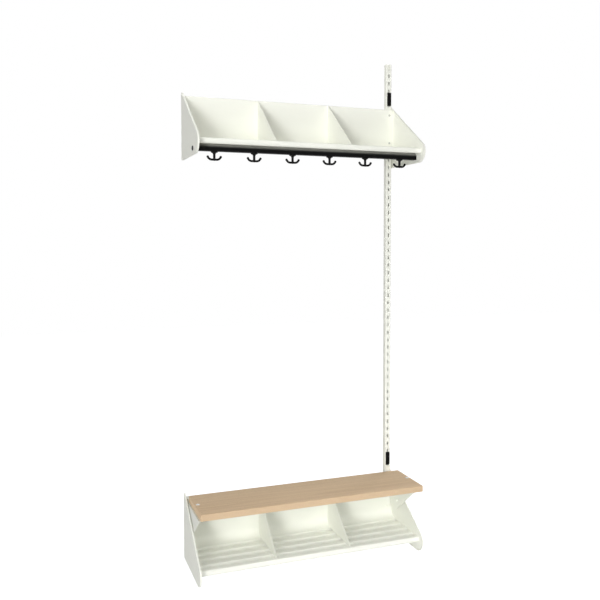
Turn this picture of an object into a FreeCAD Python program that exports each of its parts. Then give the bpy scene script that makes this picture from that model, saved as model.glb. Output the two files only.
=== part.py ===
import FreeCAD, Part
import math
import os

from FreeCAD import Vector

# Open cloakroom section for a wall: a slotted upright at the right end carries a hat shelf with a hook rail
# under it, and a bench with a shoe tray below. Its left end joins the section beside it. Millimetres.
# The origin is on the wall plane, on the upright's centre line, level with the bench's bottom edge.
# +X runs to the right along the wall, +Y into the wall, +Z up. "Depth" is the distance out from the wall.

# Bay: outer faces of the gables, heights of the two units and the rows of dividers
BAY_WIDTH = 900.0
RIGHT_FACE = 20.0
LEFT_FACE = RIGHT_FACE - BAY_WIDTH
BENCH_BASE = 0.0
UPPER_BASE = 1555.0
COMPARTMENTS = 3

# Clearances that several pieces share
RUNNING_GAP = 0.3
HOLE_SLACK = 0.2
THREAD_GAP = 0.05
CUT_OVER = 1.0

# Slotted upright, a steel tube with one row of slots in its front
UPRIGHT_WIDTH = 24.0
UPRIGHT_DEPTH = 22.0
UPRIGHT_WALL = 1.5
UPRIGHT_BOTTOM = -9.0
UPRIGHT_TOP = 1991.0
UPRIGHT_CORNER = 2.0
SLOT_WIDTH = 5.0
SLOT_HEIGHT = 14.0
SLOT_PITCH = 32.0
FIRST_SLOT = 22.0
SLOT_COUNT = 62
WALL_HOLE_RADIUS = 3.0
ACCESS_HOLE_RADIUS = 5.5
WALL_HOLE_HEIGHTS = (38.0, 166.0, 1638.0, 1766.0)

# Gables, pressed from sheet with a narrow flange turned in all round
GABLE_HEIGHT = 259.0
GABLE_DEPTH = 302.0
GABLE_REAR = 2.0
GABLE_TOP_FLAT = 10.0
GABLE_HORN = 29.0
GABLE_KNEE = 63.0
GABLE_KNEE_RADIUS = 35.0
GABLE_TOE_RADIUS = 44.0
GABLE_CORNER = 6.0
GABLE_SKIN = 2.0
GABLE_EDGE = 6.5
GABLE_BEND = 3.0
GABLE_SLOPE = (GABLE_HEIGHT - GABLE_KNEE) / (GABLE_DEPTH - GABLE_TOP_FLAT)

# Shelf pan: one folded sheet with a rear flange, a curved back, a grooved floor and a front lip
SHEET = 1.5
PAN_REAR = 5.0
PAN_BACK = 26.5
PAN_TOP = 244.5
PAN_CURVE = 34.0
FLOOR = 57.0
GROOVES = 4
FIRST_GROOVE = 74.0
GROOVE_PITCH = 52.0
GROOVE_HALF = 11.0
GROOVE_DRAFT = 3.0
GROOVE_DEEP = 12.0
GROOVE_CREST = 4.0
GROOVE_ROOT = 6.0
LIP_FRONT = 268.0
LIP_RETURN = 12.0
LIP_CREST = 6.0
LIP_CURL = 9.0
HAT_LIP_BOTTOM = 37.0
TRAY_LIP_BOTTOM = 34.0
UPRIGHT_NOTCH = 13.5
UPRIGHT_NOTCH_DEEP = 10.0

# Folded tabs that hold the pan's ends to weld studs on the gables: (depth, height) of each stud
BACK_STUDS = ((15.0, 210.0), (15.0, 140.0))
FLOOR_STUD = (100.0, 45.0)
TAB_HALF = 13.0
TAB_EDGE = 7.0
STUD_RADIUS = 2.5
STUD_LENGTH = 5.0
NUT_FLATS = 8.0
NUT_THICK = 4.5
THIN_NUT = 2.7

# Dividers, flat sheets tabbed into the pan
DIVIDER_GAP = 0.2
DIVIDER_TOP = 242.0
DIVIDER_FRONT = 263.0
DIVIDER_NOSE = 3.0
DIVIDER_TAB = 20.0
DIVIDER_TAB_HEIGHTS = (150.0, 215.0)
DIVIDER_FLOOR_TAB = 100.0
TAB_REACH = 4.0
TAB_SLACK = 0.15

# Hangers between pan and upright, with hooked teeth in the slots
HANGER_WIDTH = 22.0
HANGER_BOTTOM = 95.0
UPPER_HANGER_TOP = 256.0
BENCH_HANGER_TOP = 277.0
UPPER_TEETH = (1750.0, 1686.0)
BENCH_TEETH = (182.0, 118.0)
TOOTH_THICK = 3.0
TOOTH_NECK = 6.0
TOOTH_DROP = 7.0
TOOTH_DEEP = 5.0
HANGER_SCREWS = (221.0, 104.0)
HANGER_SCREW_RADIUS = 2.5
HANGER_HEAD_RADIUS = 4.5
HANGER_HEAD_THICK = 2.5
HANGER_HEAD_ROUND = 1.2
HANGER_SOCKET_FLATS = 3.0
HANGER_SOCKET_DEEP = 1.6

# Hook rail, an extrusion with a T-slot along its underside
RAIL_CENTRE = 218.0
RAIL_HALF = 12.0
RAIL_BOTTOM = 14.0
RAIL_HEIGHT = 28.0
RAIL_SHOULDER = 16.0
RAIL_CORNER = 2.0
RAIL_FRONT_CORNER = 3.0
RAIL_WALL = 1.8
RAIL_RIB = 4.4
RAIL_SHOULDER_WALL = 11.0
RAIL_LIP = 1.5
MOUTH_HALF = 4.3
CHANNEL_HALF = 7.8
CHANNEL_HEIGHT = 3.4
RAIL_SCREW = 22.6
RAIL_SCREW_RADIUS = 2.5
RAIL_HEAD_RADIUS = 8.5
RAIL_HEAD_PROUD = 3.2
RAIL_HEAD_ROUND = 1.4
RAIL_SCREW_LENGTH = 20.0
RAIL_SOCKET_FLATS = 5.0
RAIL_SOCKET_DEEP = 2.2

# Anchor hooks, each turning under a glider that slides in the rail
HOOKS = 6
HOOK_PITCH = 150.0
FIRST_HOOK = LEFT_FACE + 78.2
GLIDER_LENGTH = 34.0
HUB_RADIUS = 13.0
HUB_THICK = 2.5
HUB_CHAMFER = 0.8
NECK_END_ROUND = 3.8
PIN_RADIUS = 2.5
PIN_LENGTH = 8.6
BEAD_RADIUS = 2.95
BEAD_LENGTH = 4.3
BEAD_RAMP = 0.4
BEAD_LEAD = 1.5
BEAD_END_RADIUS = 1.7
BORE_CLEARANCE = 0.05
STEM_RADIUS = 4.6
FLARE_RADIUS = 12.0
FLARE_RIM = 1.0
FLARE_HEIGHT = 9.0
ARM_CENTRE = -15.5
ARM_RADIUS = 4.0
ARM_FLAT = 9.0
ARM_REACH = 24.0
ARM_RISE = 10.0
TIP_RADIUS = 4.5

# Lock clips, plugged into a slot above each unit
CLIP_SLOTS = {"upper_lock_clip": 1846.0, "lower_lock_clip": 310.0}
CLIP_HALF = 8.5
CLIP_ABOVE = 26.0
CLIP_BELOW = 30.0
CLIP_PROUD = 5.0
CLIP_TOP_ROUND = 2.5
CLIP_EDGE = 1.5
CLIP_SLANT = 6.0
PEG_LENGTH = 11.0
PEG_GAP = 0.2

# Bench seat, its brackets and screws
SEAT_LEFT = LEFT_FACE + 14.5
SEAT_LENGTH = 912.0
SEAT_REAR = 31.0
SEAT_FRONT = 248.5
SEAT_TOP = 255.0
SEAT_THICK = 25.0
SEAT_BOTTOM = SEAT_TOP - SEAT_THICK
SEAT_EDGE = 2.5
SEAT_SCREW_INSET = 13.5
SEAT_SCREW_DEPTH = 137.0
SEAT_SCREW_RADIUS = 3.0
SEAT_HOLE_RADIUS = 3.5
SEAT_SINK_RADIUS = 7.5
SEAT_SINK = 8.0
SEAT_HEAD_RADIUS = 6.0
SEAT_HEAD_THICK = 4.0
CAP_RADIUS = 7.4
CAP_PROUD = 0.9
CAP_BEVEL = 2.0
SEAT_NUT_FLATS = 10.0
SEAT_SCREW_TAIL = 1.0
BRACKET_PLATE = 3.0
BRACKET_REAR = 34.0
BRACKET_FOOT = 90.0
BRACKET_LOW = 110.0
BRACKET_FRONT = 240.0
BRACKET_NOSE = 4.0
BRACKET_CORNER = 6.0
BRACKET_STANDOFF = 7.0
BRACKET_STUDS = ((60.0, 200.0), (100.0, 150.0))
BRACKET_STUD_LENGTH = 16.0
SPACER_RADIUS = 5.0
FLANGE_WIDTH = 34.0
FLANGE_REAR = 80.0
FLANGE_FRONT = 236.0
SEAT_CLEARANCE = 0.5


def at(x, depth, height):
    return Vector(x, -depth, height)


def block(x_limits, depth_limits, heights):
    x_low, x_high = sorted(x_limits)
    near, far = sorted(depth_limits)
    low, high = sorted(heights)
    return Part.makeBox(x_high - x_low, far - near, high - low, at(x_low, far, low))


def solid(shape):
    """The single solid that a boolean leaves."""
    cleaned = shape.removeSplitter()
    if len(cleaned.Solids) != 1:
        raise ValueError(f"{len(cleaned.Solids)} solids where one is meant")
    return cleaned.Solids[0]


def raised(corners, base):
    return [(depth, height + base, radius) for depth, height, radius in corners]


def offset_corners(corners, distance, closed):
    """Corners moved to the right of the path by a distance, with concentric bends."""
    moved = []
    count = len(corners)
    for i, (depth, height, radius) in enumerate(corners):
        directions = []
        for start, end in ((i - 1, i), (i, i + 1)):
            if closed or (start >= 0 and end < count):
                a = corners[start % count]
                b = corners[end % count]
                length = math.hypot(b[0] - a[0], b[1] - a[1])
                directions.append(((b[0] - a[0]) / length, (b[1] - a[1]) / length))
        first, last = directions[0], directions[-1]
        normal = (first[1] + last[1], -first[0] - last[0])
        spread = 1 + first[0] * last[0] + first[1] * last[1]
        turn = first[0] * last[1] - first[1] * last[0]
        bend = max(radius + math.copysign(distance, turn), 0.0) if radius else 0.0
        moved.append((depth + normal[0] * distance / spread, height + normal[1] * distance / spread, bend))
    return moved


def folded_sheet(path, thickness):
    """Closed outline of a sheet whose show side follows an open path."""
    return path + offset_corners(path, thickness, closed=False)[::-1]


def rounded_wire(corners, x):
    """Closed wire in the plane at x through (depth, height, radius) corners."""
    spans = []
    for i, (depth, height, radius) in enumerate(corners):
        here = at(x, depth, height)
        back = (at(x, *corners[i - 1][:2]) - here).normalize()
        on = (at(x, *corners[(i + 1) % len(corners)][:2]) - here).normalize()
        half = back.getAngle(on) / 2
        reach = radius / math.tan(half)
        middle = here + (back + on).normalize() * (radius / math.sin(half) - radius)
        spans.append((here + back * reach, middle, here + on * reach))
    edges = []
    for i, (start, middle, end) in enumerate(spans):
        following = spans[(i + 1) % len(spans)][0]
        if start.distanceToPoint(end) > 1e-6:
            edges.append(Part.Arc(start, middle, end).toShape())
        if end.distanceToPoint(following) > 1e-6:
            edges.append(Part.makeLine(end, following))
    return Part.Wire(edges)


def prism(corners, x_from, x_to):
    return Part.Face(rounded_wire(corners, x_from)).extrude(Vector(x_to - x_from, 0, 0))


def rod(radius, start, end):
    return Part.makeCylinder(radius, start.distanceToPoint(end), start, end - start)


def turned(profile, x, depth, base):
    """Solid of revolution about a vertical axis from (radius, height) points."""
    points = [at(x + radius, depth, base + height) for radius, height in profile]
    outline = Part.makePolygon(points + points[:1])
    return Part.Face(outline).revolve(at(x, depth, base), Vector(0, 0, 1), 360)


def hex_bar(flats, start, end):
    """Hexagon prism between two points on its axis."""
    along = end - start
    side = Vector(0, 0, 1) if abs(along.z) < 1e-9 else Vector(1, 0, 0)
    across = along.cross(side).normalize()
    corner_radius = flats / math.sqrt(3)
    corners = []
    for i in range(6):
        angle = math.radians(60 * i)
        corners.append(start + (side * math.cos(angle) + across * math.sin(angle)) * corner_radius)
    return Part.Face(Part.makePolygon(corners + corners[:1])).extrude(along)


def hex_nut(flats, hole_radius, start, end):
    return solid(hex_bar(flats, start, end).cut(rod(hole_radius, start, end)))


def wall_upright():
    half = UPRIGHT_WIDTH / 2
    outside = block((-half, half), (0, UPRIGHT_DEPTH), (UPRIGHT_BOTTOM, UPRIGHT_TOP))
    upright_edges = [edge for edge in outside.Edges if abs(edge.tangentAt(edge.FirstParameter).z) > 0.9]
    outside = outside.makeFillet(UPRIGHT_CORNER, upright_edges)
    inner = half - UPRIGHT_WALL
    bore = block((-inner, inner), (UPRIGHT_WALL, UPRIGHT_DEPTH - UPRIGHT_WALL), (UPRIGHT_BOTTOM, UPRIGHT_TOP))
    cuts = []
    for i in range(SLOT_COUNT):
        centre = FIRST_SLOT + i * SLOT_PITCH
        heights = (centre - SLOT_HEIGHT / 2, centre + SLOT_HEIGHT / 2)
        slot_depths = (UPRIGHT_DEPTH - UPRIGHT_WALL - CUT_OVER, UPRIGHT_DEPTH + CUT_OVER)
        cuts.append(block((-SLOT_WIDTH / 2, SLOT_WIDTH / 2), slot_depths, heights))
    for height in WALL_HOLE_HEIGHTS:
        middle = at(0, UPRIGHT_DEPTH / 2, height)
        cuts.append(rod(WALL_HOLE_RADIUS, at(0, -CUT_OVER, height), middle))
        cuts.append(rod(ACCESS_HOLE_RADIUS, middle, at(0, UPRIGHT_DEPTH + CUT_OVER, height)))
    return solid(outside.cut(bore).cut(Part.makeCompound(cuts)))


def gable_outline(seat_notch):
    """Side view of a gable; the notch lets the seat board run on over its top."""
    outline = [
        (GABLE_REAR, 0.0, GABLE_CORNER),
        (GABLE_REAR, GABLE_HEIGHT, GABLE_CORNER),
        (GABLE_TOP_FLAT, GABLE_HEIGHT, GABLE_CORNER),
    ]
    if seat_notch:
        step = SEAT_BOTTOM - BRACKET_PLATE - SEAT_CLEARANCE
        step_end = GABLE_TOP_FLAT + (GABLE_HEIGHT - step) / GABLE_SLOPE
        horn_top = GABLE_HEIGHT - GABLE_SLOPE * (GABLE_HORN - GABLE_TOP_FLAT)
        outline.append((GABLE_HORN, horn_top, GABLE_CORNER))
        outline.append((GABLE_HORN, step, GABLE_CORNER))
        outline.append((step_end, step, GABLE_CORNER))
    outline.append((GABLE_DEPTH, GABLE_KNEE, GABLE_KNEE_RADIUS))
    outline.append((GABLE_DEPTH, 0.0, GABLE_TOE_RADIUS))
    return outline


def gable(base, face, inward, studs, seat_notch=False):
    """Pressed side panel: skin at x = face, flange turned inward, weld studs on the hidden side."""
    outline = raised(gable_outline(seat_notch), base)
    blank = prism(outline, face, face + inward * GABLE_EDGE)
    rim = [edge for edge in blank.Edges if all(abs(v.X - face) < 1e-6 for v in edge.Vertexes)]
    blank = blank.makeFillet(GABLE_BEND, rim)
    web = face + inward * GABLE_SKIN
    inset = offset_corners(outline, GABLE_SKIN, closed=True)
    panel = blank.cut(prism(inset, web, face + inward * (GABLE_EDGE + CUT_OVER)))
    for depth, height, length in studs:
        root = at(web - inward * GABLE_SKIN / 2, depth, base + height)
        panel = panel.fuse(rod(STUD_RADIUS, root, at(web + inward * length, depth, base + height)))
    return solid(panel)


def pan_studs():
    return [(*place, STUD_LENGTH) for place in (*BACK_STUDS, FLOOR_STUD)]


def bracket_studs():
    return [(*place, BRACKET_STUD_LENGTH) for place in BRACKET_STUDS]


def rail_screw(face, inward):
    """Round-headed screw through a gable into the rail's end, with a hexagon socket."""
    place = (RAIL_CENTRE, UPPER_BASE + RAIL_SCREW)
    crown = at(face - inward * RAIL_HEAD_PROUD, *place)
    seat = at(face, *place)
    head = rod(RAIL_HEAD_RADIUS, crown, seat)
    rim = [edge for edge in head.Edges if all(abs(v.X - crown.x) < 1e-6 for v in edge.Vertexes)]
    socket = hex_bar(RAIL_SOCKET_FLATS, crown, crown + Vector(inward * RAIL_SOCKET_DEEP, 0, 0))
    shank = rod(RAIL_SCREW_RADIUS, seat, at(face + inward * (GABLE_SKIN + RAIL_SCREW_LENGTH), *place))
    return solid(head.makeFillet(RAIL_HEAD_ROUND, rim).fuse(shank).cut(socket))


def upper_gable(face, inward):
    place = (RAIL_CENTRE, UPPER_BASE + RAIL_SCREW)
    through = at(face + inward * (GABLE_SKIN + CUT_OVER), *place)
    hole = rod(RAIL_SCREW_RADIUS + HOLE_SLACK, at(face - inward * CUT_OVER, *place), through)
    return solid(gable(UPPER_BASE, face, inward, pan_studs()).cut(hole))


def divider_positions():
    return [LEFT_FACE + BAY_WIDTH * i / COMPARTMENTS for i in range(1, COMPARTMENTS)]


def divider_tabs(x, base, slack=0.0):
    """Tabs of a divider that pass through the pan; slack turns them into the slots."""
    half = SHEET / 2 + slack
    tabs = []
    for height in DIVIDER_TAB_HEIGHTS:
        reach = (PAN_BACK - SHEET - TAB_REACH, PAN_BACK + DIVIDER_GAP + slack)
        span = (base + height - DIVIDER_TAB / 2 - slack, base + height + DIVIDER_TAB / 2 + slack)
        tabs.append(block((x - half, x + half), reach, span))
    across = (DIVIDER_FLOOR_TAB - DIVIDER_TAB / 2 - slack, DIVIDER_FLOOR_TAB + DIVIDER_TAB / 2 + slack)
    drop = (base + FLOOR - SHEET - TAB_REACH, base + FLOOR + DIVIDER_GAP + slack)
    tabs.append(block((x - half, x + half), across, drop))
    return tabs


def divider(x, base, top):
    """Flat triangular sheet that follows the pan's back and floor, cut level at its top."""
    rear = PAN_BACK + DIVIDER_GAP
    foot = FLOOR + DIVIDER_GAP
    slope = (DIVIDER_TOP - foot - DIVIDER_NOSE) / (DIVIDER_FRONT - rear - DIVIDER_NOSE)
    corners = [
        (rear, top, 0.0),
        (rear + DIVIDER_NOSE + (DIVIDER_TOP - top) / slope, top, 0.0),
        (DIVIDER_FRONT, foot + DIVIDER_NOSE, 0.0),
        (DIVIDER_FRONT, foot, 0.0),
        (rear, foot, PAN_CURVE - DIVIDER_GAP),
    ]
    plate = prism(raised(corners, base), x - SHEET / 2, x + SHEET / 2)
    return solid(plate.fuse(divider_tabs(x, base)))


def pan_path(lip_bottom):
    """Show side of the pan from its rear flange over the grooved floor to the return under its lip."""
    path = [(PAN_REAR, PAN_TOP, 0.0), (PAN_BACK, PAN_TOP, 2 * SHEET), (PAN_BACK, FLOOR, PAN_CURVE)]
    narrow = GROOVE_HALF - GROOVE_DRAFT
    for i in range(GROOVES):
        centre = FIRST_GROOVE + i * GROOVE_PITCH
        crest = SHEET if i == GROOVES - 1 else GROOVE_CREST
        path.append((centre - GROOVE_HALF, FLOOR, GROOVE_CREST))
        path.append((centre - narrow, FLOOR - GROOVE_DEEP, GROOVE_ROOT))
        path.append((centre + narrow, FLOOR - GROOVE_DEEP, GROOVE_ROOT))
        path.append((centre + GROOVE_HALF, FLOOR, crest))
    path.append((LIP_FRONT, FLOOR, LIP_CREST))
    path.append((LIP_FRONT, lip_bottom, LIP_CURL))
    path.append((LIP_FRONT - LIP_RETURN, lip_bottom, 0.0))
    return path


def pan_end_tabs(base, end, inward):
    """Tabs folded behind the back and under the floor, with the holes for the gable's studs."""
    tabs = []
    holes = []
    thick = (end, end + inward * SHEET)
    for depth, height in BACK_STUDS:
        span = (base + height - TAB_HALF, base + height + TAB_HALF)
        tabs.append(block(thick, (depth - TAB_EDGE, PAN_BACK - SHEET / 2), span))
    depth, height = FLOOR_STUD
    drop = (base + height - TAB_EDGE, base + FLOOR - SHEET / 2)
    tabs.append(block(thick, (depth - TAB_HALF, depth + TAB_HALF), drop))
    for depth, height in (*BACK_STUDS, FLOOR_STUD):
        start = at(end - inward * CUT_OVER, depth, base + height)
        stop = at(end + inward * (SHEET + CUT_OVER), depth, base + height)
        holes.append(rod(STUD_RADIUS + HOLE_SLACK, start, stop))
    return tabs, holes


def shelf_pan(base, lip_bottom):
    left = LEFT_FACE + GABLE_SKIN
    right = RIGHT_FACE - GABLE_SKIN
    outline = raised(folded_sheet(pan_path(lip_bottom), SHEET), base)
    pan = prism(outline, left, right)
    notch = (base + PAN_TOP - UPRIGHT_NOTCH_DEEP, base + PAN_TOP + CUT_OVER)
    cuts = [block((-UPRIGHT_NOTCH, UPRIGHT_NOTCH), (0, PAN_BACK - SHEET), notch)]
    for end, inward in ((left, 1), (right, -1)):
        tabs, holes = pan_end_tabs(base, end, inward)
        pan = pan.fuse(tabs)
        cuts += holes
    for x in divider_positions():
        cuts += divider_tabs(x, base, slack=TAB_SLACK)
    for height in HANGER_SCREWS:
        place = base + height
        cuts.append(rod(HANGER_SCREW_RADIUS + HOLE_SLACK, at(0, 0, place), at(0, PAN_BACK + CUT_OVER, place)))
    return solid(pan.cut(Part.makeCompound(cuts)))


def pan_nuts(base):
    """Thin nuts on the studs at both ends of a pan, clear of the upright."""
    nuts = []
    for face, inward in ((LEFT_FACE, 1), (RIGHT_FACE, -1)):
        seat = face + inward * (GABLE_SKIN + SHEET)
        for depth, height in (*BACK_STUDS, FLOOR_STUD):
            start = at(seat, depth, base + height)
            end = at(seat + inward * THIN_NUT, depth, base + height)
            nuts.append(hex_nut(NUT_FLATS, STUD_RADIUS + THREAD_GAP, start, end))
    return Part.makeCompound(nuts)


def hanger(base, top, teeth):
    """Strap behind the pan whose teeth drop behind the lower edge of two slots."""
    rear = UPRIGHT_DEPTH
    front = PAN_BACK - SHEET
    half = HANGER_WIDTH / 2
    strap = block((-half, half), (rear, front), (base + HANGER_BOTTOM, base + top))
    thick = (-TOOTH_THICK / 2, TOOTH_THICK / 2)
    for slot in teeth:
        sill = slot - SLOT_HEIGHT / 2
        inside = rear - UPRIGHT_WALL
        neck = block(thick, (inside - TOOTH_DEEP, front), (sill, sill + TOOTH_NECK))
        drop_depths = (inside - TOOTH_DEEP, inside - HOLE_SLACK)
        drop = block(thick, drop_depths, (sill - TOOTH_DROP, sill + TOOTH_NECK))
        strap = strap.fuse([neck, drop])
    for height in HANGER_SCREWS:
        place = base + height
        strap = strap.cut(rod(HANGER_SCREW_RADIUS + THREAD_GAP, at(0, rear, place), at(0, front, place)))
    return solid(strap)


def hanger_screws(base):
    screws = []
    front = PAN_BACK + HANGER_HEAD_THICK
    for height in HANGER_SCREWS:
        place = base + height
        shank = rod(HANGER_SCREW_RADIUS, at(0, UPRIGHT_DEPTH + HOLE_SLACK, place), at(0, PAN_BACK, place))
        head = rod(HANGER_HEAD_RADIUS, at(0, PAN_BACK, place), at(0, front, place))
        rim = [edge for edge in head.Edges if abs(edge.BoundBox.YMax + front) < 1e-6]
        socket = hex_bar(HANGER_SOCKET_FLATS, at(0, front, place), at(0, front - HANGER_SOCKET_DEEP, place))
        screws.append(solid(shank.fuse(head.makeFillet(HANGER_HEAD_ROUND, rim)).cut(socket)))
    return Part.makeCompound(screws)


def rail_outline():
    rear = RAIL_CENTRE - RAIL_HALF
    front = RAIL_CENTRE + RAIL_HALF
    low = RAIL_BOTTOM
    lip = low + RAIL_LIP
    roof = lip + CHANNEL_HEIGHT
    top = low + RAIL_HEIGHT
    return [
        (rear, low, RAIL_CORNER),
        (rear, top, RAIL_CORNER),
        (front, top, RAIL_SHOULDER),
        (front, low, RAIL_FRONT_CORNER),
        (RAIL_CENTRE + MOUTH_HALF, low, 0.0),
        (RAIL_CENTRE + MOUTH_HALF, lip, 0.0),
        (RAIL_CENTRE + CHANNEL_HALF, lip, 0.0),
        (RAIL_CENTRE + CHANNEL_HALF, roof, 0.0),
        (RAIL_CENTRE - CHANNEL_HALF, roof, 0.0),
        (RAIL_CENTRE - CHANNEL_HALF, lip, 0.0),
        (RAIL_CENTRE - MOUTH_HALF, lip, 0.0),
        (RAIL_CENTRE - MOUTH_HALF, low, 0.0),
    ]


def hook_rail():
    left = LEFT_FACE + GABLE_SKIN
    right = RIGHT_FACE - GABLE_SKIN
    rail = prism(raised(rail_outline(), UPPER_BASE), left, right)
    floor = UPPER_BASE + RAIL_BOTTOM + RAIL_LIP + CHANNEL_HEIGHT + RAIL_WALL
    top = UPPER_BASE + RAIL_BOTTOM + RAIL_HEIGHT
    rear_hollow = (RAIL_CENTRE - RAIL_HALF + RAIL_WALL, RAIL_CENTRE - RAIL_RIB)
    front_hollow = (RAIL_CENTRE + RAIL_RIB, RAIL_CENTRE + RAIL_HALF - RAIL_WALL)
    cuts = [
        block((left, right), rear_hollow, (floor, top - RAIL_WALL)),
        block((left, right), front_hollow, (floor, top - RAIL_SHOULDER_WALL)),
    ]
    place = (RAIL_CENTRE, UPPER_BASE + RAIL_SCREW)
    cuts.append(rod(RAIL_SCREW_RADIUS + THREAD_GAP, at(left, *place), at(right, *place)))
    return solid(rail.cut(Part.makeCompound(cuts)))


def rail_screws():
    return Part.makeCompound([rail_screw(LEFT_FACE, 1), rail_screw(RIGHT_FACE, -1)])


def glider(x):
    """T-shaped slider in the rail with a round hub and a beaded pin below it."""
    lip = RAIL_BOTTOM + RAIL_LIP
    span = (x - GLIDER_LENGTH / 2, x + GLIDER_LENGTH / 2)
    wide = CHANNEL_HALF - RUNNING_GAP
    narrow = MOUTH_HALF - RUNNING_GAP
    hub_top = RAIL_BOTTOM - RUNNING_GAP
    wings = block(
        span,
        (RAIL_CENTRE - wide, RAIL_CENTRE + wide),
        (UPPER_BASE + lip + RUNNING_GAP, UPPER_BASE + lip + CHANNEL_HEIGHT - RUNNING_GAP),
    )
    neck = block(
        span,
        (RAIL_CENTRE - narrow, RAIL_CENTRE + narrow),
        (UPPER_BASE + hub_top, UPPER_BASE + lip + RUNNING_GAP),
    )
    ends = [edge for edge in neck.Edges if abs(edge.tangentAt(edge.FirstParameter).z) > 0.9]
    neck = neck.makeFillet(NECK_END_ROUND, ends)
    hub_bottom = hub_top - HUB_THICK
    pin_end = hub_bottom - PIN_LENGTH
    bead_end = pin_end - BEAD_LENGTH
    profile = [
        (0.0, hub_top),
        (HUB_RADIUS, hub_top),
        (HUB_RADIUS, hub_bottom + HUB_CHAMFER),
        (HUB_RADIUS - HUB_CHAMFER, hub_bottom),
        (PIN_RADIUS, hub_bottom),
        (PIN_RADIUS, pin_end),
        (BEAD_RADIUS, pin_end - BEAD_RAMP),
        (BEAD_RADIUS, bead_end + BEAD_LEAD),
        (BEAD_END_RADIUS, bead_end),
        (0.0, bead_end),
    ]
    spindle = turned(profile, x, RAIL_CENTRE, UPPER_BASE)
    return solid(wings.fuse([neck, spindle]))


def hook_stem(x):
    """Turned stem: a flare under the glider's hub, bored for its pin and bead."""
    top = RAIL_BOTTOM - HUB_THICK - 2 * RUNNING_GAP
    shoulder = RAIL_BOTTOM - RUNNING_GAP - HUB_THICK - PIN_LENGTH + RUNNING_GAP
    recess_end = shoulder - BEAD_LENGTH - 3 * RUNNING_GAP
    bore = PIN_RADIUS + BORE_CLEARANCE
    recess = BEAD_RADIUS + RUNNING_GAP + BORE_CLEARANCE
    rim = top - FLARE_RIM
    foot = top - FLARE_HEIGHT
    rise = rim - foot
    run = FLARE_RADIUS - STEM_RADIUS

    def point(radius, height):
        return at(x + radius, RAIL_CENTRE, UPPER_BASE + height)

    quarter = math.sqrt(0.5)
    hollow = point(STEM_RADIUS + run * (1 - quarter), foot + rise * quarter)
    edges = [
        Part.makeLine(point(0, recess_end), point(recess, recess_end)),
        Part.makeLine(point(recess, recess_end), point(recess, shoulder)),
        Part.makeLine(point(recess, shoulder), point(bore, shoulder)),
        Part.makeLine(point(bore, shoulder), point(bore, top)),
        Part.makeLine(point(bore, top), point(FLARE_RADIUS, top)),
        Part.makeLine(point(FLARE_RADIUS, top), point(FLARE_RADIUS, rim)),
        Part.Arc(point(FLARE_RADIUS, rim), hollow, point(STEM_RADIUS, foot)).toShape(),
        Part.makeLine(point(STEM_RADIUS, foot), point(STEM_RADIUS, ARM_CENTRE)),
        Part.makeLine(point(STEM_RADIUS, ARM_CENTRE), point(0, ARM_CENTRE)),
        Part.makeLine(point(0, ARM_CENTRE), point(0, recess_end)),
    ]
    return Part.Face(Part.Wire(edges)).revolve(at(x, RAIL_CENTRE, UPPER_BASE), Vector(0, 0, 1), 360)


def coat_hook(x):
    """Anchor-shaped double hook: a level bar at the foot of the stem whose ends curve up to ball tips."""
    run = ARM_REACH - ARM_FLAT
    sweep_radius = (run ** 2 + ARM_RISE ** 2) / (2 * ARM_RISE)
    sweep_angle = math.degrees(math.asin(run / sweep_radius))
    foot = at(x, RAIL_CENTRE, UPPER_BASE + ARM_CENTRE)
    pieces = [rod(ARM_RADIUS, foot - Vector(ARM_FLAT, 0, 0), foot + Vector(ARM_FLAT, 0, 0))]
    for side in (-1, 1):
        bend_start = foot + Vector(side * ARM_FLAT, 0, 0)
        centre = bend_start + Vector(0, 0, sweep_radius)
        section = Part.Face(Part.Wire(Part.makeCircle(ARM_RADIUS, bend_start, Vector(1, 0, 0))))
        pieces.append(section.revolve(centre, Vector(0, -side, 0), sweep_angle))
        pieces.append(Part.makeSphere(TIP_RADIUS, foot + Vector(side * ARM_REACH, 0, ARM_RISE)))
    pieces.append(Part.makeSphere(STEM_RADIUS, foot))
    return solid(hook_stem(x).fuse(pieces))


def lock_clip(slot):
    """Plug with a slant-ended body in front of the upright and a peg in one of its slots."""
    rear = UPRIGHT_DEPTH + RUNNING_GAP
    front = rear + CLIP_PROUD
    outline = [
        (rear, slot - CLIP_BELOW, 0.0),
        (rear, slot + CLIP_ABOVE, 0.0),
        (front, slot + CLIP_ABOVE, CLIP_TOP_ROUND),
        (front, slot - CLIP_BELOW + CLIP_SLANT, CLIP_EDGE),
    ]
    body = prism(outline, -CLIP_HALF, CLIP_HALF)
    front_edges = [edge for edge in body.Edges if abs(edge.BoundBox.YMax + front) < 1e-6]
    sides = [edge for edge in front_edges if edge.BoundBox.ZLength > CLIP_ABOVE]
    body = body.makeFillet(CLIP_EDGE, sides)
    peg_half = SLOT_WIDTH / 2 - PEG_GAP
    peg_rise = SLOT_HEIGHT / 2 - PEG_GAP
    peg_depths = (rear - PEG_LENGTH, front - CLIP_EDGE)
    peg = block((-peg_half, peg_half), peg_depths, (slot - peg_rise, slot + peg_rise))
    return solid(body.fuse(peg))


def seat_screw_places():
    left = SEAT_LEFT + SEAT_SCREW_INSET
    right = SEAT_LEFT + SEAT_LENGTH - SEAT_SCREW_INSET
    return (left, right)


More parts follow.
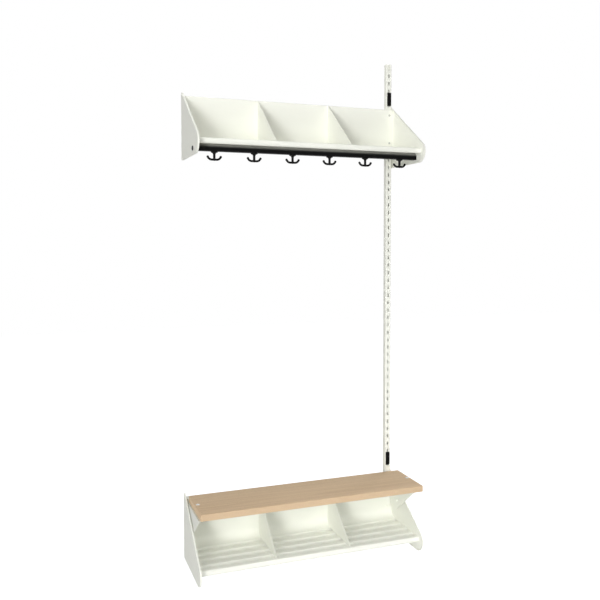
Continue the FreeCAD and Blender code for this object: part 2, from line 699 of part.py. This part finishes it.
def seat_board():
    board = block((SEAT_LEFT, SEAT_LEFT + SEAT_LENGTH), (SEAT_REAR, SEAT_FRONT), (SEAT_BOTTOM, SEAT_TOP))
    board = board.makeFillet(SEAT_EDGE, board.Edges)
    for x in seat_screw_places():
        below = at(x, SEAT_SCREW_DEPTH, SEAT_BOTTOM - CUT_OVER)
        floor = at(x, SEAT_SCREW_DEPTH, SEAT_TOP - SEAT_SINK)
        above = at(x, SEAT_SCREW_DEPTH, SEAT_TOP + CUT_OVER)
        through = rod(SEAT_HOLE_RADIUS, below, above)
        sink = rod(SEAT_SINK_RADIUS, floor, above)
        board = board.cut(through).cut(sink)
    return solid(board)


def seat_screws():
    screws = []
    tail = SEAT_BOTTOM - BRACKET_PLATE - NUT_THICK - SEAT_SCREW_TAIL
    for x in seat_screw_places():
        floor = at(x, SEAT_SCREW_DEPTH, SEAT_TOP - SEAT_SINK)
        shank = rod(SEAT_SCREW_RADIUS, at(x, SEAT_SCREW_DEPTH, tail), floor)
        head = rod(SEAT_HEAD_RADIUS, floor, floor + Vector(0, 0, SEAT_HEAD_THICK))
        screws.append(solid(shank.fuse(head)))
    return Part.makeCompound(screws)


def seat_nuts():
    nuts = []
    for x in seat_screw_places():
        top = at(x, SEAT_SCREW_DEPTH, SEAT_BOTTOM - BRACKET_PLATE)
        bottom = top - Vector(0, 0, NUT_THICK)
        nuts.append(hex_nut(SEAT_NUT_FLATS, SEAT_SCREW_RADIUS + THREAD_GAP, top, bottom))
    return Part.makeCompound(nuts)


def seat_screw_caps():
    caps = []
    low = SEAT_TOP - SEAT_SINK + SEAT_HEAD_THICK
    high = SEAT_TOP + CAP_PROUD
    profile = [
        (0.0, low),
        (CAP_RADIUS, low),
        (CAP_RADIUS, SEAT_TOP),
        (CAP_RADIUS - CAP_BEVEL, high),
        (0.0, high),
    ]
    for x in seat_screw_places():
        caps.append(turned(profile, x, SEAT_SCREW_DEPTH, 0.0).Solids[0])
    return Part.makeCompound(caps)


def seat_bracket(face, inward, flange_to):
    """Triangular console stood off from a gable, with a flange under the seat board."""
    near = face + inward * (GABLE_SKIN + BRACKET_STANDOFF)
    far = near + inward * BRACKET_PLATE
    corners = [
        (BRACKET_REAR, BRACKET_LOW, BRACKET_CORNER),
        (BRACKET_REAR, SEAT_BOTTOM, 0.0),
        (BRACKET_FRONT, SEAT_BOTTOM, 0.0),
        (BRACKET_FRONT, SEAT_BOTTOM - BRACKET_NOSE, 0.0),
        (BRACKET_FOOT, BRACKET_LOW, BRACKET_CORNER),
    ]
    plate = prism(corners, near, far)
    start = near if (flange_to - near) * inward > 0 else far
    flange_heights = (SEAT_BOTTOM - BRACKET_PLATE, SEAT_BOTTOM)
    flange = block((start, flange_to), (FLANGE_REAR, FLANGE_FRONT), flange_heights)
    cuts = []
    for depth, height in BRACKET_STUDS:
        start = at(near - inward * CUT_OVER, depth, height)
        cuts.append(rod(STUD_RADIUS + HOLE_SLACK, start, at(far + inward * CUT_OVER, depth, height)))
    for x in seat_screw_places():
        low = at(x, SEAT_SCREW_DEPTH, SEAT_BOTTOM - BRACKET_PLATE - CUT_OVER)
        cuts.append(rod(SEAT_SCREW_RADIUS + HOLE_SLACK, low, at(x, SEAT_SCREW_DEPTH, SEAT_TOP)))
    return solid(plate.fuse(flange).cut(Part.makeCompound(cuts)))


def bracket_spacers():
    spacers = []
    for face, inward in ((LEFT_FACE, 1), (RIGHT_FACE, -1)):
        web = face + inward * GABLE_SKIN
        for depth, height in BRACKET_STUDS:
            start = at(web, depth, height)
            end = at(web + inward * BRACKET_STANDOFF, depth, height)
            hole = rod(STUD_RADIUS + HOLE_SLACK, start, end)
            spacers.append(solid(rod(SPACER_RADIUS, start, end).cut(hole)))
    return Part.makeCompound(spacers)


def bracket_nuts():
    nuts = []
    for face, inward in ((LEFT_FACE, 1), (RIGHT_FACE, -1)):
        seat = face + inward * (GABLE_SKIN + BRACKET_STANDOFF + BRACKET_PLATE)
        for depth, height in BRACKET_STUDS:
            start = at(seat, depth, height)
            end = at(seat + inward * NUT_THICK, depth, height)
            nuts.append(hex_nut(NUT_FLATS, STUD_RADIUS + THREAD_GAP, start, end))
    return Part.makeCompound(nuts)


def assemble():
    """Every piece of the section by name."""
    bench_studs = pan_studs() + bracket_studs()
    left_flange = LEFT_FACE + GABLE_SKIN + BRACKET_STANDOFF + FLANGE_WIDTH
    right_flange = RIGHT_FACE - GABLE_SKIN - BRACKET_STANDOFF - BRACKET_PLATE + FLANGE_WIDTH
    pieces = {
        "wall_upright": wall_upright(),
        "upper_left_gable": upper_gable(LEFT_FACE, 1),
        "upper_right_gable": upper_gable(RIGHT_FACE, -1),
        "hat_shelf": shelf_pan(UPPER_BASE, HAT_LIP_BOTTOM),
        "hat_shelf_nuts": pan_nuts(UPPER_BASE),
        "upper_hanger": hanger(UPPER_BASE, UPPER_HANGER_TOP, UPPER_TEETH),
        "upper_hanger_screws": hanger_screws(UPPER_BASE),
        "hook_rail": hook_rail(),
        "rail_screws": rail_screws(),
        "bench_left_gable": gable(BENCH_BASE, LEFT_FACE, 1, bench_studs),
        "bench_right_gable": gable(BENCH_BASE, RIGHT_FACE, -1, bench_studs, seat_notch=True),
        "shoe_tray": shelf_pan(BENCH_BASE, TRAY_LIP_BOTTOM),
        "shoe_tray_nuts": pan_nuts(BENCH_BASE),
        "bench_hanger": hanger(BENCH_BASE, BENCH_HANGER_TOP, BENCH_TEETH),
        "bench_hanger_screws": hanger_screws(BENCH_BASE),
        "seat_board": seat_board(),
        "seat_screws": seat_screws(),
        "seat_nuts": seat_nuts(),
        "seat_screw_caps": seat_screw_caps(),
        "seat_bracket_left": seat_bracket(LEFT_FACE, 1, left_flange),
        "seat_bracket_right": seat_bracket(RIGHT_FACE, -1, right_flange),
        "bracket_spacers": bracket_spacers(),
        "bracket_nuts": bracket_nuts(),
    }
    for side, x in zip(("left", "right"), divider_positions()):
        pieces[f"hat_divider_{side}"] = divider(x, UPPER_BASE, DIVIDER_TOP)
        pieces[f"tray_divider_{side}"] = divider(x, BENCH_BASE, SEAT_BOTTOM - SEAT_CLEARANCE)
    for i in range(HOOKS):
        x = FIRST_HOOK + i * HOOK_PITCH
        pieces[f"hook_glider_{i + 1}"] = glider(x)
        pieces[f"coat_hook_{i + 1}"] = coat_hook(x)
    for name, slot in CLIP_SLOTS.items():
        pieces[name] = lock_clip(slot)
    return pieces


os.makedirs("parts", exist_ok=True)
for name, shape in assemble().items():
    shape.exportStep(f"parts/{name}.step")
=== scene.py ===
import math

import bpy
from mathutils import Euler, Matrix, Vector


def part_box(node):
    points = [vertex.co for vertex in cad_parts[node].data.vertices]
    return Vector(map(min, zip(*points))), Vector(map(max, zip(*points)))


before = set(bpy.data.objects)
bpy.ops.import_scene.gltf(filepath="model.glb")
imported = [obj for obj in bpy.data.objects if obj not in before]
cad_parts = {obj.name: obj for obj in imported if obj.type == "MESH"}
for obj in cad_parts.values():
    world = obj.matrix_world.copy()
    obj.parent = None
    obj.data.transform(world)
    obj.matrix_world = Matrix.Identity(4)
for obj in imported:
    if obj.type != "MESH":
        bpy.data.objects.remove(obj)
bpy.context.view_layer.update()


# Upright: a square steel tube with a row of slots, screwed to the wall at the section's right end.
# It is punched and folded from strip, then powder coated in a warm white with a fine orange peel.

class Socket:
    """A node socket in a formula: each operator on it adds the Math node that it stands for."""

    def __init__(self, tree, link=None):
        self.tree = tree
        self.link = link

    def node(self, kind, settings=(), sockets=(), output=0):
        made = self.tree.nodes.new("ShaderNode" + kind)
        for name, value in dict(settings).items():
            setattr(made, name, value)
        for name, value in dict(sockets).items():
            if isinstance(value, Socket):
                self.tree.links.new(value.link, made.inputs[name])
            else:
                made.inputs[name].default_value = value
        return Socket(self.tree, made.outputs[output])

    def maths(self, operation, first, second=0.0):
        return self.node("Math", {"operation": operation}, {0: first, 1: second})

    def __add__(self, other):
        return self.maths("ADD", self, other)

    def __radd__(self, other):
        return self.maths("ADD", other, self)

    def __sub__(self, other):
        return self.maths("SUBTRACT", self, other)

    def __rsub__(self, other):
        return self.maths("SUBTRACT", other, self)

    def __mul__(self, other):
        return self.maths("MULTIPLY", self, other)

    def __rmul__(self, other):
        return self.maths("MULTIPLY", other, self)

    def __truediv__(self, other):
        return self.maths("DIVIDE", self, other)

    def __pow__(self, other):
        return self.maths("POWER", self, other)

    def __abs__(self):
        return self.maths("ABSOLUTE", self)

    def steps(self):
        """The whole number below."""
        return self.maths("FLOOR", self)

    def rising(self, low, high):
        """0 below low, 1 above high and smooth between."""
        ends = {"Value": self, "From Min": low, "From Max": high}
        return self.node("MapRange", {"interpolation_type": "SMOOTHSTEP"}, ends)

    def stretched(self, x, y, z):
        """A point with each axis scaled."""
        return self.node("VectorMath", {"operation": "MULTIPLY"}, {0: self, 1: (x, y, z)})

    def cloud(self, scale, detail=2.0, roughness=0.5):
        """Soft noise from 0 to 1 at this point, with so many lumps in a metre."""
        lumps = {"Vector": self, "Scale": scale, "Detail": detail, "Roughness": roughness}
        return self.node("TexNoise", {}, lumps)

    def axes(self):
        """The x, y and z of a point."""
        parts = self.node("SeparateXYZ", {}, {0: self})
        return [Socket(self.tree, parts.link.node.outputs[i]) for i in range(3)]

    def between(self, start, end):
        """A colour that runs from start at 0 to end at 1."""
        return self.node("Mix", {"data_type": "RGBA"}, {0: self, 6: start, 7: end}, output=2)

    def relief(self, depth, strength=1.0):
        """Surface normals bumped by this height, where 1 stands depth metres proud."""
        return self.node("Bump", {}, {"Height": self, "Strength": strength, "Distance": depth})


class Finish:
    """A material on its way: its shader, and the point and direction of the surface that it starts from."""

    def __init__(self, name, **constants):
        self.material = bpy.data.materials.new(name)
        self.material.use_nodes = True
        self.tree = self.material.node_tree
        self.shader = self.tree.nodes["Principled BSDF"]
        for socket, value in constants.items():
            self.shader.inputs[socket.replace("_", " ")].default_value = value
        self.point = Socket(self.tree).node("TexCoord", output="Object")
        self.normal = Socket(self.tree).node("TexCoord", output="Normal")

    def varies(self, **sockets):
        for name, value in sockets.items():
            self.tree.links.new(value.link, self.shader.inputs[name.replace("_", " ")])
        return self.material


def dress(material, *nodes):
    for name in nodes:
        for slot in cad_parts[name].material_slots:
            slot.material = material


def powder_coat():
    """Warm white paint: even colour, a fine orange peel and a slightly uneven sheen."""
    thin = (0.885, 0.892, 0.815, 1)
    full = (0.905, 0.912, 0.835, 1)
    peel_depth = 0.00006
    paint = Finish("white_powder_coat", Specular_IOR_Level=0.22)
    peel = paint.point.cloud(900, detail=1)
    grain = paint.point.cloud(3600, detail=1)
    patches = paint.point.cloud(11, detail=3)
    colour = (0.7 * patches + 0.3 * grain).between(thin, full)
    roughness = 0.46 + 0.08 * patches + 0.08 * grain
    height = 0.75 * peel + 0.25 * grain
    return paint.varies(Base_Color=colour, Roughness=roughness, Normal=height.relief(peel_depth, 0.6))


white_powder_coat = powder_coat()
dress(white_powder_coat, "wall_upright")


# Hat shelf and bench: gables pressed from sheet with a narrow flange all round, one folded pan each,
# triangular dividers tabbed into the pans and toothed hangers behind them, all coated as the upright is.

dress(white_powder_coat, "upper_left_gable", "upper_right_gable", "hat_shelf", "hat_divider_left")
dress(white_powder_coat, "hat_divider_right", "upper_hanger")
dress(white_powder_coat, "bench_left_gable", "bench_right_gable", "shoe_tray", "tray_divider_left")
dress(white_powder_coat, "tray_divider_right", "bench_hanger")


# Fasteners of the shelves and brackets: steel nuts on weld studs, turned spacers, and screws with
# hexagon sockets. Most are zinc plated with a faint straw bloom; those that show in the bench are painted.

def zinc_plate():
    """Plated steel with blooms of colour and a dull, scratched sheen."""
    steel = (0.56, 0.57, 0.57, 1)
    straw = (0.60, 0.58, 0.52, 1)
    scratch_depth = 0.00002
    plate = Finish("zinc_plate", Metallic=1.0)
    bloom = plate.point.cloud(160, detail=3)
    scratches = plate.point.stretched(600, 600, 5200).cloud(1, detail=2)
    colour = bloom.rising(0.35, 0.7).between(steel, straw)
    roughness = 0.28 + 0.22 * scratches
    return plate.varies(Base_Color=colour, Roughness=roughness, Normal=scratches.relief(scratch_depth, 0.5))


zinc = zinc_plate()
dress(zinc, "hat_shelf_nuts", "shoe_tray_nuts", "upper_hanger_screws", "seat_screws", "seat_nuts")
dress(zinc, "bracket_spacers")
dress(white_powder_coat, "bench_hanger_screws", "bracket_nuts")


# Hook rail: an aluminium extrusion with a T-slot underneath, black anodised, held at each end by a
# flat round-headed screw through the gable. The die leaves fine lines along its length, and a painted
# sheen turns the round shoulder under the shelf grey where it faces up.

def black_anodised():
    """Dark satin metal with drawing lines along the rail, and a painted grey sheen where its round shoulder
    faces up.
    """
    deep = (0.002, 0.002, 0.002, 1)
    dull = (0.006, 0.006, 0.006, 1)
    painted_sheen = (0.50, 0.50, 0.46, 1)
    line_depth = 0.00002
    rail = Finish("black_anodised", Specular_IOR_Level=0.06)
    lines = rail.point.stretched(3, 2600, 2600).cloud(1, detail=2)
    patches = rail.point.cloud(24, detail=2)
    _, _, up = rail.normal.axes()
    # Painted sheen: the shoulder turns grey the more it faces up, standing in for light caught there.
    painted_sheen_mask = up.rising(0.0, 1.05) * (0.85 + 0.3 * patches)
    black = (0.6 * lines + 0.4 * patches).between(deep, dull)
    colour = painted_sheen_mask.between(black, painted_sheen)
    roughness = 0.3 + 0.14 * lines
    return rail.varies(Base_Color=colour, Roughness=roughness, Normal=lines.relief(line_depth, 0.5))


def black_oxide():
    """Blackened steel with a slightly oily, blotched sheen."""
    deep = (0.010, 0.010, 0.011, 1)
    worn = (0.040, 0.040, 0.042, 1)
    oxide = Finish("black_oxide", Metallic=0.6)
    blotches = oxide.point.cloud(420, detail=3)
    colour = blotches.rising(0.4, 0.8).between(deep, worn)
    return oxide.varies(Base_Color=colour, Roughness=0.34 + 0.2 * blotches)


dress(black_anodised(), "hook_rail")
dress(black_oxide(), "rail_screws")


# Hooks: six double hooks of moulded black plastic, each turning on the pin of a glider in the rail.
# The mould leaves a fine spark-eroded grain.

HOOKS = 6


def moulded_black():
    """Black plastic with a fine moulded grain."""
    deep = (0.002, 0.002, 0.002, 1)
    dull = (0.006, 0.006, 0.006, 1)
    grain_depth = 0.00004
    plastic = Finish("moulded_black", Specular_IOR_Level=0.08)
    grain = plastic.point.cloud(2600, detail=2)
    patches = plastic.point.cloud(70, detail=2)
    colour = (0.5 * grain + 0.5 * patches).between(deep, dull)
    roughness = 0.34 + 0.12 * grain + 0.06 * patches
    return plastic.varies(Base_Color=colour, Roughness=roughness, Normal=grain.relief(grain_depth, 0.6))


black_plastic = moulded_black()
for i in range(HOOKS):
    dress(black_plastic, f"hook_glider_{i + 1}", f"coat_hook_{i + 1}")


# Seat brackets: triangular steel consoles stood off from the bench gables on spacers, both with a flange
# turned to the right under the seat. They are coated as the gables are.

dress(white_powder_coat, "seat_bracket_left", "seat_bracket_right")


# Seat: a beech board glued up from staves with the grain along the bench, rounded at the edges, lacquered
# clear and given a pale backing underneath. One screw at each end goes down through it into the bracket's
# flange.

def lacquered_beech():
    """Straight-grained beech with rings, fibres and ray flecks, painted shade on its long edges, pale
    below.
    """
    stave_width = 0.0434
    ring_pitch = 0.0036
    ring_wander = 0.012
    heart_depth = 0.20
    heart_spread = 0.05
    fibre_depth = 0.00004
    pale = (0.865, 0.655, 0.433, 1)
    late = (0.706, 0.498, 0.305, 1)
    shaded_edge_pale = (0.665, 0.503, 0.334, 1)
    shaded_edge_late = (0.542, 0.383, 0.235, 1)
    ray = (0.400, 0.262, 0.150, 1)
    backing = (0.84, 0.85, 0.79, 1)
    beech = Finish("lacquered_beech", Specular_IOR_Level=0.08, Coat_Roughness=0.4, Coat_Weight=0.02)
    _, y, z = beech.point.axes()
    stave = (y / stave_width).steps()
    lot = beech.point.node("TexWhiteNoise", {"noise_dimensions": "1D"}, {"W": stave})
    drift = beech.point.stretched(1.6, 9, 9).cloud(1, detail=2)
    across = y - (stave + lot) * stave_width
    below = z - heart_depth + heart_spread * lot
    radius = (across * across + below * below) ** 0.5
    rings = (radius + ring_wander * drift) / ring_pitch
    wave = rings.maths("SINE", rings * math.tau)
    late_wood = (0.5 + 0.5 * wave) ** 2
    fibres = beech.point.stretched(9, 700, 700).cloud(1, detail=4, roughness=0.65)
    flecks = beech.point.stretched(210, 2100, 2100).cloud(1, detail=1).rising(0.62, 0.72)
    grain = 0.34 * late_wood + 0.5 * fibres + 0.3 * lot - 0.2
    _, facing, up = beech.normal.axes()
    # Painted shade: the long front and back edges take darker copies of the face colours, chosen by which
    # way the surface faces.
    face = grain.between(pale, late)
    shaded_edge = grain.between(shaded_edge_pale, shaded_edge_late)
    wood = (0.55 * flecks).between(abs(facing).rising(0.3, 0.9).between(face, shaded_edge), ray)
    colour = up.rising(-0.9, -0.5).between(backing, wood)
    roughness = 0.46 + 0.14 * fibres
    height = fibres - 0.6 * flecks
    return beech.varies(Base_Color=colour, Roughness=roughness, Normal=height.relief(fibre_depth, 0.5))


dress(lacquered_beech(), "seat_board")


# Screw caps: glossy white lids moulded in plastic, one over each of the seat's two screws.
# They are pressed into the counterbores by hand and stand a little proud of the board.

def white_plastic():
    """Glossy moulded white with a trace of flow lines."""
    milky = (0.93, 0.93, 0.89, 1)
    clear = (0.96, 0.96, 0.93, 1)
    plastic = Finish("white_plastic", Specular_IOR_Level=0.8, Coat_Weight=1.0, Coat_Roughness=0.08)
    flow = plastic.point.cloud(260, detail=2)
    return plastic.varies(Base_Color=flow.between(milky, clear), Roughness=0.22 + 0.12 * flow)


dress(white_plastic(), "seat_screw_caps")


# Lock clips: black plastic plugs pushed into one slot of the upright above each unit, so that it
# can't be lifted off its teeth.

dress(black_plastic, "upper_lock_clip", "lower_lock_clip")


# Floor: a plain pale floor with a matt finish. The section hangs on the wall above it, with its seat at
# sitting height, and touches it nowhere.

SEAT_HEIGHT = 0.45
FLOOR_HALF = 9.0


def ground_rays(tree):
    """1 for a ray that sees the ground itself, straight from the camera, mirrored or through glass."""
    rays = Socket(tree).node("LightPath").link.node.outputs
    seen = Socket(tree, rays["Is Camera Ray"])
    glossy = Socket(tree, rays["Is Glossy Ray"])
    through = Socket(tree, rays["Is Transmission Ray"])
    return seen + glossy + through


def pale_floor():
    """Matt white with a faint speckle, lifted for the camera and for reflections."""
    dark = (0.86, 0.86, 0.86, 1)
    light = (0.88, 0.88, 0.88, 1)
    unlit = (0, 0, 0, 1)
    lifted = (0.80, 0.80, 0.80, 1)
    floor = Finish("pale_floor", Roughness=0.9, Specular_IOR_Level=0.1, Emission_Strength=1.0)
    speckle = floor.point.cloud(40, detail=3)
    lift = ground_rays(floor.tree).between(unlit, lifted)
    return floor.varies(Base_Color=speckle.between(dark, light), Emission_Color=lift)


floor_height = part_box("seat_board")[1].z - SEAT_HEIGHT
floor_mesh = bpy.data.meshes.new("floor")
signs = [(-1, -1), (1, -1), (1, 1), (-1, 1)]
corners = [(right * FLOOR_HALF, back * FLOOR_HALF, floor_height) for right, back in signs]
floor_mesh.from_pydata(corners, [], [range(len(corners))])
floor_mesh.materials.append(pale_floor())
floor = bpy.data.objects.new("floor", floor_mesh)
bpy.context.scene.collection.objects.link(floor)


# Studio light: an even white surround, a tall strip box far off in front and to the left, a soft box
# high up beside it, small ones above the hat shelf and before the shoe tray, and a strip that shows the
# back.

AMBIENT = 0.23
STRIP = (1.6, 2.6)
SECTION_MIDDLE = (-0.4, -0.1, 1.0)

world = bpy.data.worlds.new("studio")
world.use_nodes = True
surround = ground_rays(world.node_tree).between((AMBIENT, AMBIENT, AMBIENT, 1), (1, 1, 1, 1))
world.node_tree.links.new(surround.link, world.node_tree.nodes["Background"].inputs["Color"])
bpy.context.scene.world = world


def soft_box(name, place, aim, size, power):
    """An area lamp of this width and height, in metres and watts, turned from its place to its aim."""
    lamp = bpy.data.lights.new(name, "AREA")
    lamp.shape = "RECTANGLE"
    lamp.size, lamp.size_y = size
    lamp.energy = power
    box = bpy.data.objects.new(name, lamp)
    box.location = place
    box.visible_camera = False
    box.rotation_mode = "QUATERNION"
    box.rotation_quaternion = (Vector(aim) - Vector(place)).to_track_quat("-Z", "Y")
    bpy.context.scene.collection.objects.link(box)


soft_box("key_strip", (-5.0, -6.6, 1.15), SECTION_MIDDLE, STRIP, 292)
soft_box("high_box", (-2.6, -5.0, 4.0), SECTION_MIDDLE, (2.4, 1.6), 30)
soft_box("shelf_light", (-0.9, -0.7, 3.2), (-0.35, -0.1, 1.6), (0.9, 0.9), 11)
soft_box("tray_light", (-0.35, -1.5, 0.75), (-0.1, -0.1, 0.1), (0.6, 0.5), 7)
soft_box("rear_strip", (3.2, 2.4, 1.3), SECTION_MIDDLE, STRIP, 60)


# Camera: stands in front of the section and to its left, a little above the middle of the upright, and
# looks slightly down. The angles are in degrees and the optical centre is in pixels of the square picture.

IMAGE_SIDE = 600
FOCAL_PIXELS = 729.0
OPTICAL_CENTRE = (306.87, 267.72)
CAMERA_PLACE = (-1.41665, -2.81539, 1.24838)
CAMERA_YAW = 20.52
CAMERA_PITCH = 2.16
lens = bpy.data.cameras.new("camera")
lens.sensor_width = 36
lens.lens = lens.sensor_width * FOCAL_PIXELS / IMAGE_SIDE
lens.shift_x = 0.5 - OPTICAL_CENTRE[0] / IMAGE_SIDE
lens.shift_y = OPTICAL_CENTRE[1] / IMAGE_SIDE - 0.5
camera = bpy.data.objects.new("camera", lens)
camera.location = CAMERA_PLACE
camera.rotation_euler = Euler((math.radians(90 - CAMERA_PITCH), 0, math.radians(-CAMERA_YAW)))
bpy.context.scene.collection.objects.link(camera)
bpy.context.scene.camera = camera

bpy.context.scene.view_settings.view_transform = "Standard"
